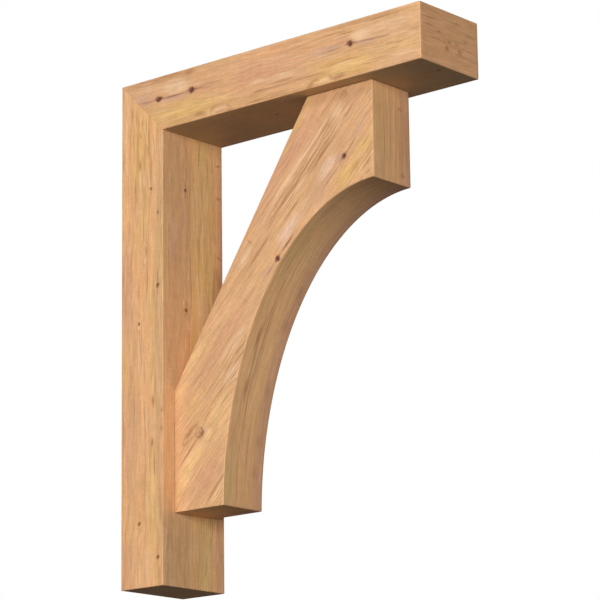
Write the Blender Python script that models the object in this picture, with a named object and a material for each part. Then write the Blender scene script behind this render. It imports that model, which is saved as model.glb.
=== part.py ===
"""Timber corbel bracket: a wall post, a top beam mitred to it, and a curved brace between them.

Metres. +X points out from the wall, +Y across the bracket and +Z up.
The origin is the middle of the post's back face, which lies against the wall.
"""

import math

import bmesh
import bpy

# Overall sizes.
HEIGHT = 0.8128            # 32 in, from the post's foot to the beam's top
PROJECTION = 0.6096        # 24 in, from the wall to the beam's end

# Sections of the timbers.
TIMBER_WIDTH = 0.1397      # 5-1/2 in, across the post and the beam
POST_DEPTH = 0.0889        # 3-1/2 in, out from the wall
BEAM_DEPTH = 0.0889        # 3-1/2 in, top to bottom
BRACE_WIDTH = 0.0889       # 3-1/2 in, across the brace, centred on the post

# The brace's outline.
FOOT_RISE = 0.1143         # 4-1/2 in, from the post's foot up to the brace's foot
FOOT_DEPTH = 0.1016        # 4 in, level foot, out from the post
POST_SEAT = 0.1905         # 7-1/2 in, height of the cut that bears on the post
BEAM_SEAT = 0.1270         # 5 in, length of the cut that bears under the beam
BEAM_OVERHANG = 0.1143     # 4-1/2 in, from the brace's end face to the beam's end
END_FACE_HEIGHT = 0.1524   # 6 in, plumb end face below the beam

# The hollow lower edge is part of an upright ellipse, whose centre lies just past two of the brace's faces.
CENTRE_BEYOND_END = 0.0046  # out from the brace's end face
CENTRE_BELOW_FOOT = 0.0063  # down from the brace's foot
HOLLOW_STEPS = 56

# Fits and finish.
JOINT_GAP = 0.0003         # left open in every joint between two timbers
EASED_EDGE = 0.0010        # width of the flat that the planed edges are eased by
SHARP_ANGLE = math.radians(20)  # faces that meet at less than this belong to one curved surface

# Heights and depths that follow from the sizes above.
POST_FOOT_Z = -HEIGHT / 2
BEAM_TOP_Z = POST_FOOT_Z + HEIGHT
BEAM_UNDERSIDE_Z = BEAM_TOP_Z - BEAM_DEPTH
BRACE_FOOT_Z = POST_FOOT_Z + FOOT_RISE
BRACE_BACK_X = POST_DEPTH + JOINT_GAP
BRACE_TOP_Z = BEAM_UNDERSIDE_Z - JOINT_GAP
BRACE_END_X = PROJECTION - BEAM_OVERHANG


def wood(name, colour, roughness):
    """A planed softwood with a clear, nearly matt finish."""
    material = bpy.data.materials.new(name)
    material.use_nodes = True
    shader = material.node_tree.nodes["Principled BSDF"]
    shader.inputs["Base Color"].default_value = (*colour, 1.0)
    shader.inputs["Roughness"].default_value = roughness
    shader.inputs["Metallic"].default_value = 0.0
    return material


def is_eased(edge, joint_faces):
    """A sharp edge is eased unless it bounds a face that is cut for a joint."""
    if edge.calc_face_angle(0.0) < SHARP_ANGLE:
        return False
    return not any(face in joint_faces for face in edge.link_faces)


def timber(name, outline, width, joint_sides, material):
    """A prism: outline in X and Z, as wide as width across Y, with its planed edges eased.

    joint_sides holds the numbers of the outline's sides that are joint faces.
    Side n runs from point n to the next one.
    """
    mesh = bpy.data.meshes.new(name)
    shape = bmesh.new()
    near = [shape.verts.new((x, -width / 2, z)) for x, z in outline]
    far = [shape.verts.new((x, width / 2, z)) for x, z in outline]
    shape.faces.new(near)
    shape.faces.new(reversed(far))
    joint_faces = set()
    for side in range(len(outline)):
        after = (side + 1) % len(outline)
        face = shape.faces.new((near[side], far[side], far[after], near[after]))
        if side in joint_sides:
            joint_faces.add(face)
    bmesh.ops.recalc_face_normals(shape, faces=shape.faces)
    eased = [edge for edge in shape.edges if is_eased(edge, joint_faces)]
    bmesh.ops.bevel(
        shape, geom=eased, offset=EASED_EDGE / math.sqrt(2), segments=1, affect="EDGES", clamp_overlap=True
    )
    bmesh.ops.triangulate(shape, faces=shape.faces)
    shape.to_mesh(mesh)
    shape.free()
    mesh.materials.append(material)
    piece = bpy.data.objects.new(name, mesh)
    bpy.context.scene.collection.objects.link(piece)
    return piece


def mitre_shift(side):
    """How far along X, and how far along Z, the mitre's cut is moved to leave half of the joint's gap.

    The joint runs from the outer corner, at the wall and the beam's top, to the inner corner.
    side is -1 for the post, below the joint, and +1 for the beam, above it.
    """
    length = math.hypot(POST_DEPTH, BEAM_DEPTH)
    half_gap = side * JOINT_GAP / 2
    return half_gap * length / BEAM_DEPTH, half_gap * length / POST_DEPTH


def wall_post(material):
    """The upright against the wall, from its square foot to the mitre at its top."""
    _, drop = mitre_shift(-1)
    outline = [
        (0.0, POST_FOOT_Z),
        (POST_DEPTH, POST_FOOT_Z),
        (POST_DEPTH, BEAM_UNDERSIDE_Z + drop),
        (0.0, BEAM_TOP_Z + drop),
    ]
    return timber("wall_post", outline, TIMBER_WIDTH, {2}, material)


def top_beam(material):
    """The level timber, from the mitre at the wall to its square outer end."""
    shift, _ = mitre_shift(1)
    outline = [
        (POST_DEPTH + shift, BEAM_UNDERSIDE_Z),
        (PROJECTION, BEAM_UNDERSIDE_Z),
        (PROJECTION, BEAM_TOP_Z),
        (shift, BEAM_TOP_Z),
    ]
    return timber("top_beam", outline, TIMBER_WIDTH, {3}, material)


def hollow_edge():
    """Points of the brace's hollow lower edge, from the front of its foot up to its end face."""
    centre_x = BRACE_END_X + CENTRE_BEYOND_END
    centre_z = BRACE_FOOT_Z - CENTRE_BELOW_FOOT
    foot_dx = centre_x - (POST_DEPTH + FOOT_DEPTH)
    foot_dz = BRACE_FOOT_Z - centre_z
    end_dx = centre_x - BRACE_END_X
    end_dz = BEAM_UNDERSIDE_Z - END_FACE_HEIGHT - centre_z
    # The two radii that take the ellipse through both corners.
    spread = (foot_dx * end_dz) ** 2 - (end_dx * foot_dz) ** 2
    radius_x = math.sqrt(spread / (end_dz**2 - foot_dz**2))
    radius_z = math.sqrt(spread / (foot_dx**2 - end_dx**2))
    start = math.atan2(foot_dz / radius_z, foot_dx / radius_x)
    finish = math.atan2(end_dz / radius_z, end_dx / radius_x)
    points = []
    for step in range(HOLLOW_STEPS + 1):
        angle = start + (finish - start) * step / HOLLOW_STEPS
        points.append((centre_x - radius_x * math.cos(angle), centre_z + radius_z * math.sin(angle)))
    return points


def curved_brace(material):
    """The diagonal timber: a level foot, the hollow edge, a plumb end face and a straight upper edge."""
    outline = [(BRACE_BACK_X, BRACE_FOOT_Z)]
    outline += hollow_edge()
    outline += [
        (BRACE_END_X, BRACE_TOP_Z),
        (BRACE_END_X - BEAM_SEAT, BRACE_TOP_Z),
        (BRACE_BACK_X, BRACE_FOOT_Z + POST_SEAT),
    ]
    beam_joint = len(outline) - 3
    post_joint = len(outline) - 1
    return timber("curved_brace", outline, BRACE_WIDTH, {beam_joint, post_joint}, material)


def main():
    for item in list(bpy.data.objects):
        bpy.data.objects.remove(item)
    wall_post(wood("post_wood", (0.71, 0.40, 0.19), 0.55))
    top_beam(wood("beam_wood", (0.68, 0.38, 0.19), 0.55))
    curved_brace(wood("brace_wood", (0.68, 0.39, 0.19), 0.55))


main()
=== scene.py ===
import math

import bmesh
import bpy
from mathutils import Matrix, Vector


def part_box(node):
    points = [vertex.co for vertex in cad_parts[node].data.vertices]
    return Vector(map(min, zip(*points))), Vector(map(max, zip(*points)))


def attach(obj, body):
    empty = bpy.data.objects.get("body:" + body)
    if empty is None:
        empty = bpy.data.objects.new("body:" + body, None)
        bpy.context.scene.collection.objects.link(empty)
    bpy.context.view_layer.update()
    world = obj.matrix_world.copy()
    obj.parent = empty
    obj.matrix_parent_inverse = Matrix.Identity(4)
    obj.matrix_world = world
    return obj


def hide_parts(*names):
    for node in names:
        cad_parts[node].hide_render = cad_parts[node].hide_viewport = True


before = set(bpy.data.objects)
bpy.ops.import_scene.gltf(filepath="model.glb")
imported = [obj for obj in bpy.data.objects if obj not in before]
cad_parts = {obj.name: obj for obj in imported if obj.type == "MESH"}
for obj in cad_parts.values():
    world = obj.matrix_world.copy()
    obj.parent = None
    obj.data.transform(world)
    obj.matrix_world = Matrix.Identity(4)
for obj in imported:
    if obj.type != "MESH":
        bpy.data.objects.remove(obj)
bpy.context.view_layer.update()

INCH = 0.0254

# Sizes of the timbers that the frame's boxes give.
POST_LOW, POST_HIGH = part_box("wall_post")
BEAM_LOW, BEAM_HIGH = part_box("top_beam")
BRACE_LOW, BRACE_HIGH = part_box("curved_brace")
POST_DEPTH = POST_HIGH.x
BEAM_UNDERSIDE = BEAM_LOW.z
TOP = BEAM_HIGH.z
REACH = BEAM_HIGH.x
FOOT = POST_LOW.z
HALF_WIDTH = POST_HIGH.y
BRACE_HALF_WIDTH = BRACE_HIGH.y
BRACE_END = BRACE_HIGH.x
BRACE_FOOT = BRACE_LOW.z
MITRE_GAP = 0.00005

# The brace's own cuts, as in the part's source.
FOOT_DEPTH = 0.1016
POST_SEAT = 0.1905
BEAM_SEAT = 0.127
END_FACE_HEIGHT = 0.1524
CENTRE_BEYOND_END = 0.0046
CENTRE_BELOW_FOOT = 0.0063
HOLLOW_STEPS = 220

# How finely the faces are divided, and how far the edges are rounded.
SLICE = 0.0055
ROUNDING = 0.001
HOLLOW_ROUNDING = 0.0015
SEAT_ROUNDING = 0.0018
ROUNDING_STEPS = 3
SHARP_ANGLE = math.radians(20)
CREASE_ANGLE = math.radians(38)
CUT_TOLERANCE = 1e-7

# Unit directions.
OUT = Vector((1, 0, 0))
SIDEWAYS = Vector((0, 1, 0))
UP = Vector((0, 0, 1))
DIAGONAL = Vector((1, 0, 1)).normalized()
ACROSS_DIAGONAL = Vector((1, 0, -1)).normalized()

# The photograph's camera, worked out from the bracket's corners.
CAMERA_PLACE = (3.0596, -3.2187, -1.0208)
CAMERA_AZIMUTH = math.radians(40.501)
CAMERA_ELEVATION = math.radians(-13.748)
CAMERA_ROLL = math.radians(-0.742)
FOCAL_PIXELS = 2858.3
PICTURE_PIXELS = 600
SENSOR_MM = 36.0
FAR_CLIP = 100.0

# The studio: even light from all round, round soft lights, and a pale floor far below.
GLOW_STRENGTH = 0.066
LIGHT_SIZE = 3.6
LIGHT_DISTANCE = 9.0
# Each light's name, azimuth and elevation in degrees, and power in watts.
LIGHTS = (
    ("main", 30, 0, 476),
    ("right", 50, 0, 228),
    ("upper_left", -15, 40, 206),
    ("back", 200, 25, 330),
)
FLOOR_HALF = 8.0
FLOOR_DROP = 2.5
FLOOR_COLOUR = (0.85, 0.85, 0.84, 1.0)
FLOOR_ROUGHNESS = 0.8
FLOOR_EMISSION = 0.8
FLOOR_EMISSION_SHARE = 0.75

# A face whose normal has more than this share along an axis is turned that way.
TURNED = 0.8
HALF_TURNED = 0.5


def hollow_ellipse():
    """The ellipse that the brace's hollow edge is part of: centre x and z, then its radii in x and z."""
    centre_x = BRACE_END + CENTRE_BEYOND_END
    centre_z = BRACE_FOOT - CENTRE_BELOW_FOOT
    foot_dx = centre_x - (POST_DEPTH + FOOT_DEPTH)
    foot_dz = BRACE_FOOT - centre_z
    end_dx = centre_x - BRACE_END
    end_dz = BEAM_UNDERSIDE - END_FACE_HEIGHT - centre_z
    spread = (foot_dx * end_dz) ** 2 - (end_dx * foot_dz) ** 2
    radius_x = math.sqrt(spread / (end_dz**2 - foot_dz**2))
    radius_z = math.sqrt(spread / (foot_dx**2 - end_dx**2))
    return centre_x, centre_z, radius_x, radius_z


ELLIPSE_X, ELLIPSE_Z, ELLIPSE_RX, ELLIPSE_RZ = hollow_ellipse()


def linear(*srgb):
    """A colour given as 0 to 255 sRGB, as linear values."""
    values = [c / 255 for c in srgb]
    return tuple(v / 12.92 if v <= 0.04045 else ((v + 0.055) / 1.055) ** 2.4 for v in values)


# The light on a face turned to the main light, where 1 shows a surface in its own colour.
LIT_LEVEL = 0.93


def seen(*srgb):
    """The surface colour that looks like this sRGB colour on a face turned to the main light."""
    return tuple(v / LIT_LEVEL for v in linear(*srgb))


# The wood's colours, named by their look.
ORANGE = seen(226, 172, 119)
PINK = seen(217, 163, 122)
BLUSH = seen(219, 160, 122)
ROSE = seen(210, 153, 116)
MAUVE = seen(212, 158, 126)
BUFF = seen(220, 175, 133)
APRICOT = seen(230, 170, 120)
YELLOW = seen(225, 181, 118)
SUN = seen(226, 182, 110)
GOLD = seen(214, 163, 96)
OLIVE = seen(216, 177, 116)
DUN = seen(208, 160, 117)
PALE = seen(238, 197, 156)
PEARL = seen(230, 190, 160)
GLOW = seen(244, 198, 138)
FLAME = seen(254, 192, 126)
LAVENDER = seen(208, 164, 136)
LINE = seen(190, 138, 92)
BROWN = seen(168, 114, 72)
STREAK = seen(142, 92, 70)
KNOT = seen(92, 46, 38)
KNOT_BROWN = seen(108, 66, 36)
KNOT_RIM = seen(150, 98, 74)


def add_object(name, data):
    item = bpy.data.objects.new(name, data)
    bpy.context.scene.collection.objects.link(item)
    return item


class Nodes:
    """Builds a material's nodes. Every input can be another node's output or a plain value."""

    def __init__(self, tree):
        self.tree = tree

    def feed(self, socket, value):
        if isinstance(value, bpy.types.NodeSocket):
            self.tree.links.new(value, socket)
        else:
            socket.default_value = value

    def make(self, kind, inputs, output=0, **settings):
        node = self.tree.nodes.new(kind)
        for key, value in settings.items():
            setattr(node, key, value)
        for key, value in inputs.items():
            self.feed(node.inputs[key], value)
        return node.outputs[output]

    def math(self, operation, a, b=0.0, c=0.0):
        return self.make("ShaderNodeMath", {0: a, 1: b, 2: c}, operation=operation)

    def vector(self, operation, a, b=(0.0, 0.0, 0.0), c=(0.0, 0.0, 0.0), output=0):
        inputs = {0: a, 1: b}
        if operation == "MULTIPLY_ADD":
            inputs[2] = c
        return self.make("ShaderNodeVectorMath", inputs, output, operation=operation)

    def length(self, a):
        return self.vector("LENGTH", a, output="Value")

    def dot(self, a, direction):
        return self.vector("DOT_PRODUCT", a, tuple(direction), output="Value")

    def combine(self, x, y, z):
        return self.make("ShaderNodeCombineXYZ", {0: x, 1: y, 2: z})

    def span(self, value, low, high, to_low=0.0, to_high=1.0, smooth=True):
        inputs = {"Value": value, "From Min": low, "From Max": high, "To Min": to_low, "To Max": to_high}
        kind = "SMOOTHSTEP" if smooth else "LINEAR"
        return self.make("ShaderNodeMapRange", inputs, interpolation_type=kind, clamp=True)

    def noise(self, place, stretch, detail=2.0, roughness=0.5, output="Fac"):
        scaled = self.vector("MULTIPLY", place, stretch)
        inputs = {"Vector": scaled, "Scale": 1.0, "Detail": detail, "Roughness": roughness}
        return self.make("ShaderNodeTexNoise", inputs, output)

    def noises(self, place, stretch, detail=2.0):
        """Three unlike noises at once."""
        node = self.tree.nodes.new("ShaderNodeSeparateColor")
        self.feed(node.inputs[0], self.noise(place, stretch, detail, output="Color"))
        return node.outputs[0], node.outputs[1], node.outputs[2]

    def scale(self, a, amount):
        node = self.tree.nodes.new("ShaderNodeVectorMath")
        node.operation = "SCALE"
        self.feed(node.inputs[0], a)
        self.feed(node.inputs["Scale"], amount)
        return node.outputs[0]

    def mix(self, amount, a, b):
        node = self.tree.nodes.new("ShaderNodeMix")
        node.data_type = "RGBA"
        self.feed(node.inputs["Factor"], amount)
        for socket, value in ((node.inputs[6], a), (node.inputs[7], b)):
            if not isinstance(value, bpy.types.NodeSocket):
                value = (*value, 1.0)
            self.feed(socket, value)
        return node.outputs[2]

    def surface(self, shader):
        """Links a shader to the surface of the tree's own output."""
        output = next(node for node in self.tree.nodes if node.type.startswith("OUTPUT"))
        self.feed(output.inputs["Surface"], shader)


class Straight:
    """Straight grain. A place is how far along the grain, across it and deep it lies."""

    def __init__(self, along, across, deep=SIDEWAYS):
        self.axes = (along, across, deep)

    def at(self, point):
        return Vector([point.dot(axis) for axis in self.axes])

    def nodes(self, n, place):
        return n.combine(*[n.dot(place, axis) for axis in self.axes])


class Bent:
    """Grain that follows the brace's hollow edge, with Y across it."""

    RUN = (ELLIPSE_RX + ELLIPSE_RZ) / 2

    def at(self, point):
        level = (ELLIPSE_X - point.x) / ELLIPSE_RX
        plumb = (point.z - ELLIPSE_Z) / ELLIPSE_RZ
        run = math.atan2(plumb, level) + math.hypot(plumb, level)
        return Vector((run * self.RUN, point.y, 0.0))

    def nodes(self, n, place):
        level = n.math("MULTIPLY_ADD", n.dot(place, OUT), -1 / ELLIPSE_RX, ELLIPSE_X / ELLIPSE_RX)
        plumb = n.math("MULTIPLY_ADD", n.dot(place, UP), 1 / ELLIPSE_RZ, -ELLIPSE_Z / ELLIPSE_RZ)
        reach = n.length(n.combine(level, plumb, 0.0))
        run = n.math("ADD", n.math("ARCTAN2", plumb, level), reach)
        return n.combine(n.math("MULTIPLY", run, self.RUN), n.dot(place, SIDEWAYS), 0.0)


class Grain:
    """One face's or timber's wood: growth rings about a pith, with marks at named places.

    Radii are given along the grain, across it and deep. The rings go round pith, which is a place across and
    deep. busy says how far the lines of grain stand out, hue how strong the pink and yellow bands are, and
    fibres how strong the fine streaks are.
    """

    def __init__(self, name, layout, pith, seed, base, ring_width=0.0042, busy=0.45, hue=0.3, fibres=1.0):
        self.layout = layout
        self.pith = pith
        self.base = base
        self.ring_width = ring_width
        self.everywhere_busy = busy
        self.hue = hue
        self.fibres = fibres
        self.material = bpy.data.materials.new(name)
        self.material.use_nodes = True
        self.nodes = Nodes(self.material.node_tree)
        self.shader = self.material.node_tree.nodes["Principled BSDF"]
        n = self.nodes
        self.object_place = n.make("ShaderNodeTexCoord", {}, "Object")
        straight = layout.nodes(n, self.object_place)
        # The grain wavers slowly along the timber, and a little more quickly over a hand's breadth.
        self.seed = (seed * 3.7, seed * 1.9, seed * 5.3)
        shifted = n.vector("ADD", straight, self.seed)
        slow = n.noise(shifted, (2.4, 7.0, 7.0), 1.0, output="Color")
        quick = n.noise(shifted, (13.0, 40.0, 40.0), 2.0, output="Color")
        slow = n.vector("SUBTRACT", slow, (0.5, 0.5, 0.5))
        quick = n.vector("SUBTRACT", quick, (0.5, 0.5, 0.5))
        slow = n.vector("MULTIPLY", slow, (0.0, 0.014, 0.014))
        quick = n.vector("MULTIPLY", quick, (0.012, 0.006, 0.006))
        self.near_flow = n.vector("ADD", straight, quick)
        self.flow = n.vector("ADD", self.near_flow, slow)
        self.humps = []
        self.tints = []
        self.busy_places = []
        self.streaks = []
        self.knots = []

    def distance(self, centre, radii):
        """0 at the centre and 1 on the ellipsoid with these radii."""
        stretch = [1 / r for r in radii]
        offset = [-c * s for c, s in zip(self.layout.at(centre), stretch)]
        n = self.nodes
        return n.length(n.vector("MULTIPLY_ADD", self.near_flow, tuple(stretch), tuple(offset)))

    def spot(self, centre, radii, edge=0.0):
        """1 within the share edge of the radii, falling softly to 0 at the radii."""
        return self.nodes.span(self.distance(centre, radii), edge, 1.0, 1.0, 0.0)

    def swirl(self, centre, radii, height=0.012):
        """A place where the rings bulge, so that they close into ovals."""
        self.humps.append((self.spot(centre, radii), height))

    def tint(self, centre, radii, colour, amount, edge=0.2):
        self.tints.append((self.spot(centre, radii, edge), colour, amount))

    def busy(self, centre, radii, amount, edge=0.3):
        """A place where the grain's lines stand out more than elsewhere, or less where amount is negative."""
        self.busy_places.append((self.spot(centre, radii, edge), amount))

    def streak(self, centre, radii, amount, colour):
        """A thin mark, drawn over the fibres."""
        self.streaks.append((self.spot(centre, radii), colour, amount))

    def colour_patches(self, face, marks):
        """Tints on a face, each by its place there, its radii in inches, its colour and its amount."""
        for a, b, long, wide, colour, amount in marks:
            self.tint(face(a, b), inches(long, wide, DEEP), colour, amount)

    def busy_patches(self, face, marks):
        for a, b, long, wide, amount in marks:
            self.busy(face(a, b), inches(long, wide, DEEP), amount)

    def thin_marks(self, face, marks):
        """Streaks on a face. One without a colour of its own is brown."""
        for a, b, long, wide, amount, *own in marks:
            self.streak(face(a, b), inches(long, wide, THIN), amount, *(own or [BROWN]))

    def rim(self, centre, radii, amount, colour=BROWN, width=0.5):
        """The soft, uneven outline of an oval."""
        n = self.nodes
        uneven = n.math("SUBTRACT", n.noise(self.near_flow, (45.0, 90.0, 90.0), 2.0), 0.5)
        far = n.math("MULTIPLY_ADD", uneven, 1.3, self.distance(centre, radii))
        outside = n.span(far, 1.0, 1 + width / 2, 1.0, 0.0)
        ring = n.math("MULTIPLY", n.span(far, 1 - width, 1.0), outside)
        broken = n.math("MULTIPLY", ring, n.span(uneven, -0.14, 0.12, 0.3, 1.0))
        self.streaks.append((broken, colour, amount))

    def knot(self, centre, radius, tails, strength=1.0, lies_across=False, colour=KNOT, tail=STREAK):
        """A small dark knot with a lighter heart, and thin streaks before and after it along the grain.

        lies_across is for a face that is deep along its width, such as the post's front.
        """
        def face_radii(along, across, depth=0.02):
            return (along, depth, across) if lies_across else (along, across, depth)

        along = self.layout.axes[0]
        across = self.layout.axes[2 if lies_across else 1]
        heart = centre - along * (radius * 0.4) + across * (radius * 0.15)
        self.knots.append((
            self.distance(centre, face_radii(radius, radius * 0.92)),
            self.distance(heart, face_radii(radius * 0.5, radius * 0.55)),
            strength,
            colour,
        ))
        self.swirl(centre, face_radii(radius * 7, radius * 2.8), radius * 1.3)
        for side, length in zip((-1, 1), tails):
            if length:
                middle = centre + along * (side * length * 0.5)
                radii = face_radii(length * 0.65, max(radius * 0.5, 0.0016))
                self.streak(middle, radii, 0.9 * strength, tail)

    def finish(self, roughness=0.52):
        n = self.nodes
        flow = n.vector("ADD", self.flow, self.seed)
        busy = self.everywhere_busy
        for amount, share in self.busy_places:
            busy = n.math("MULTIPLY_ADD", amount, share, busy)
        busy = n.math("MAXIMUM", busy, 0.1)

        def busy_share(share):
            return n.math("MULTIPLY", busy, share)

        # Growth rings about the pith. Their spacing and their darkness vary from ring to ring.
        to_pith = n.vector("SUBTRACT", self.flow, (0.0, *self.pith))
        radius = n.length(n.vector("MULTIPLY", to_pith, (0.0, 1.0, 1.0)))
        for amount, height in self.humps:
            radius = n.math("MULTIPLY_ADD", amount, height, radius)
        ring_place = n.combine(n.dot(flow, OUT), radius, self.seed[0])
        spacing = n.noise(ring_place, (1.4, 42.0, 1.0), 1.0)
        ring_dark = n.noise(ring_place, (4.5, 150.0, 1.0), 1.0)
        turns = n.math("MULTIPLY_ADD", spacing, 5.0, n.math("DIVIDE", radius, self.ring_width))
        phase = n.math("FRACT", turns)
        ring = n.math("MULTIPLY", n.span(phase, 0.2, 0.86), n.span(phase, 0.9, 1.0, 1.0, 0.0))
        patch_a, patch_b, patch_c = n.noises(flow, (5.0, 38.0, 38.0))
        ring = n.math("MULTIPLY", ring, n.span(ring_dark, 0.38, 0.64, 0.04, 0.85))
        ring = n.math("MULTIPLY", ring, n.span(patch_a, 0.38, 0.62, 0.25, 1.0))
        ring = n.math("MULTIPLY", ring, busy_share(0.85))

        # Broad bands of colour along the timber, and narrower ones.
        band_a, band_b, _ = n.noises(flow, (3.0, 20.0, 20.0))
        narrow_a, narrow_b, _ = n.noises(flow, (12.0, 110.0, 110.0))
        colour = n.mix(n.span(band_a, 0.42, 0.66, 0.0, self.hue), self.base, PINK)
        colour = n.mix(n.span(band_b, 0.42, 0.66, 0.0, self.hue), colour, YELLOW)
        for amount, tint, share in self.tints:
            colour = n.mix(n.math("MULTIPLY", amount, share), colour, tint)
        colour = n.mix(n.span(narrow_a, 0.5, 0.72, 0.0, busy_share(0.45)), colour, PALE)
        colour = n.mix(n.span(narrow_b, 0.5, 0.72, 0.0, busy_share(0.38)), colour, LINE)
        colour = n.mix(ring, colour, LINE)

        # Fibres: soft streaks, fine streaks, and scattered thin dark and light lines.
        fibres = self.fibres
        soft = n.noise(flow, (13.0, 170.0, 170.0), 2.0, 0.6)
        fine = n.noise(flow, (38.0, 500.0, 500.0), 2.0, 0.65)
        dash_a, dash_b, dash_c = n.noises(flow, (17.0, 330.0, 330.0), 1.0)
        light = n.span(soft, 0.3, 0.7, 1 - 0.055 * fibres, 1 + 0.05 * fibres, smooth=False)
        fine_light = n.span(fine, 0.25, 0.75, 1 - 0.125 * fibres, 1 + 0.135 * fibres, smooth=False)
        light = n.math("MULTIPLY", light, fine_light)
        # Faint bands across the grain, where the light catches the fibres differently, and pores.
        ripple = n.noise(flow, (110.0, 24.0, 24.0), 1.0)
        pores = n.noise(self.object_place, (420.0, 420.0, 420.0), 1.0)
        light = n.math("MULTIPLY", light, n.span(ripple, 0.3, 0.7, 0.978, 1.022, smooth=False))
        pore_light = n.span(pores, 0.3, 0.7, 1 - 0.05 * fibres, 1 + 0.045 * fibres, smooth=False)
        light = n.math("MULTIPLY", light, pore_light)
        colour = n.scale(colour, light)
        dark_lines = n.math("MULTIPLY", n.span(dash_a, 0.56, 0.7), n.span(patch_b, 0.4, 0.6, 0.15, 1.0))
        colour = n.mix(n.math("MULTIPLY", dark_lines, busy_share(0.8)), colour, LINE)
        light_lines = n.math("MULTIPLY", n.span(dash_b, 0.56, 0.7), n.span(patch_c, 0.4, 0.6, 0.15, 1.0))
        colour = n.mix(n.math("MULTIPLY", light_lines, busy_share(0.72)), colour, PALE)

        ragged = n.span(dash_c, 0.34, 0.58, 0.55, 1.0)
        for amount, tint, share in self.streaks:
            marked = n.math("MULTIPLY", n.math("MULTIPLY", amount, share), ragged)
            colour = n.mix(marked, colour, tint)
        wobble = n.math("SUBTRACT", n.noise(self.object_place, (150.0, 150.0, 150.0), 1.0), 0.5)
        for far, heart, strength, dark in self.knots:
            far = n.math("MULTIPLY_ADD", wobble, 0.9, far)
            colour = n.mix(n.span(far, 0.7, 1.5, 0.75 * strength, 0.0), colour, KNOT_RIM)
            colour = n.mix(n.span(far, 0.5, 1.05, 0.92 * strength, 0.0), colour, dark)
            colour = n.mix(n.span(heart, 0.3, 1.1, 0.65, 0.0), colour, KNOT_RIM)

        height = n.math("MULTIPLY_ADD", fine, 0.5, n.math("MULTIPLY", soft, 0.6))
        height = n.math("SUBTRACT", height, n.math("MULTIPLY", ring, 0.8))
        n.feed(self.shader.inputs["Base Color"], colour)
        rough = n.span(fine, 0.3, 0.7, roughness - 0.05, roughness + 0.07, smooth=False)
        n.feed(self.shader.inputs["Roughness"], rough)
        bump = n.make("ShaderNodeBump", {"Strength": 0.25, "Distance": 0.0004, "Height": height}, "Normal")
        n.feed(self.shader.inputs["Normal"], bump)
        return self.material


def near_side(x_inches, z_inches):
    """A point on the post's and the beam's near side, out from the wall and up from the post's foot."""
    return Vector((x_inches * INCH, -HALF_WIDTH, FOOT + z_inches * INCH))


def brace_side(x_inches, z_inches):
    return Vector((x_inches * INCH, -BRACE_HALF_WIDTH, FOOT + z_inches * INCH))


def post_front(y_inches, z_inches):
    return Vector((POST_DEPTH, y_inches * INCH, FOOT + z_inches * INCH))


def beam_end(y_inches, z_inches):
    return Vector((REACH, y_inches * INCH, FOOT + z_inches * INCH))


def beam_under(x_inches, y_inches):
    return Vector((x_inches * INCH, y_inches * INCH, BEAM_UNDERSIDE))


def brace_end(y_inches, z_inches):
    return Vector((BRACE_END, y_inches * INCH, FOOT + z_inches * INCH))


def on_hollow(turn_degrees, y_inches):
    """A point on the brace's hollow edge, by how far round the ellipse it lies from the foot."""
    turn = math.radians(turn_degrees)
    x = ELLIPSE_X - ELLIPSE_RX * math.cos(turn)
    z = ELLIPSE_Z + ELLIPSE_RZ * math.sin(turn)
    return Vector((x, y_inches * INCH, z))


def inches(*values):
    return tuple(v * INCH for v in values)


# Marks are listed in inches: the place on a face, then the radii along the grain and across it. Colours end
# with a colour and its amount, busy patches with an amount, and thin marks with an amount and, unless they
# are brown, a colour. On the hollow edge the place starts with a turn in degrees.
# Depths in inches of patches, of places where the rings bulge and of thin marks. Each stays on its own face.
DEEP = 1.2
SWIRL_DEEP = 0.8
THIN = 0.5


# Near side of the post: pink at the wall and inside, yellow between.
POST_COLOURS = (
    (0.9, 9.5, 6.5, 0.9, PINK, 0.7),
    (0.6, 1.2, 2.2, 0.8, ROSE, 0.5),
    (0.5, 18.5, 5.0, 0.8, PINK, 0.9),
    (3.25, 23.5, 6.0, 0.65, ROSE, 0.65),
    (1.9, 27.0, 4.6, 0.9, SUN, 0.45),
    (1.9, 22.6, 3.4, 0.6, YELLOW, 0.55),
    (2.5, 9.5, 3.0, 0.9, PINK, 0.3),
    (2.8, 14.3, 3.2, 0.6, SUN, 0.9),
    (2.6, 14.6, 2.4, 0.35, GLOW, 0.6),
    (2.7, 5.4, 4.0, 0.6, SUN, 0.9),
    (2.6, 6.0, 3.0, 0.3, GLOW, 0.5),
    (1.3, 27.3, 4.0, 0.6, SUN, 0.6),
    (3.0, 9.5, 9.0, 0.6, GLOW, 0.45),
    (2.95, 14.5, 4.0, 0.45, FLAME, 0.55),
    (2.95, 6.3, 2.6, 0.45, FLAME, 0.5),
    (2.9, 20.8, 2.6, 0.5, FLAME, 0.5),
    (2.5, 7.6, 2.0, 0.35, GOLD, 0.3),
    (1.6, 14.0, 2.0, 0.25, GOLD, 0.3),
    (2.2, 17.8, 0.9, 0.32, OLIVE, 0.5),
    (2.3, 17.6, 1.2, 0.3, GLOW, 0.4),
    (2.5, 17.8, 2.0, 0.5, SUN, 0.5),
    (1.3, 21.6, 2.5, 0.4, SUN, 0.4),
    (1.95, 20.9, 1.1, 0.22, GLOW, 1.0),
    (1.6, 26.3, 1.2, 0.14, GLOW, 0.6),
    (1.35, 23.5, 0.6, 0.14, PALE, 0.5),
    (2.2, 1.5, 1.6, 0.6, PALE, 0.3),
    (3.25, 2.0, 0.4, 0.16, PALE, 0.5),
    (1.35, 3.45, 0.3, 0.14, PALE, 0.7),
)
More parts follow.
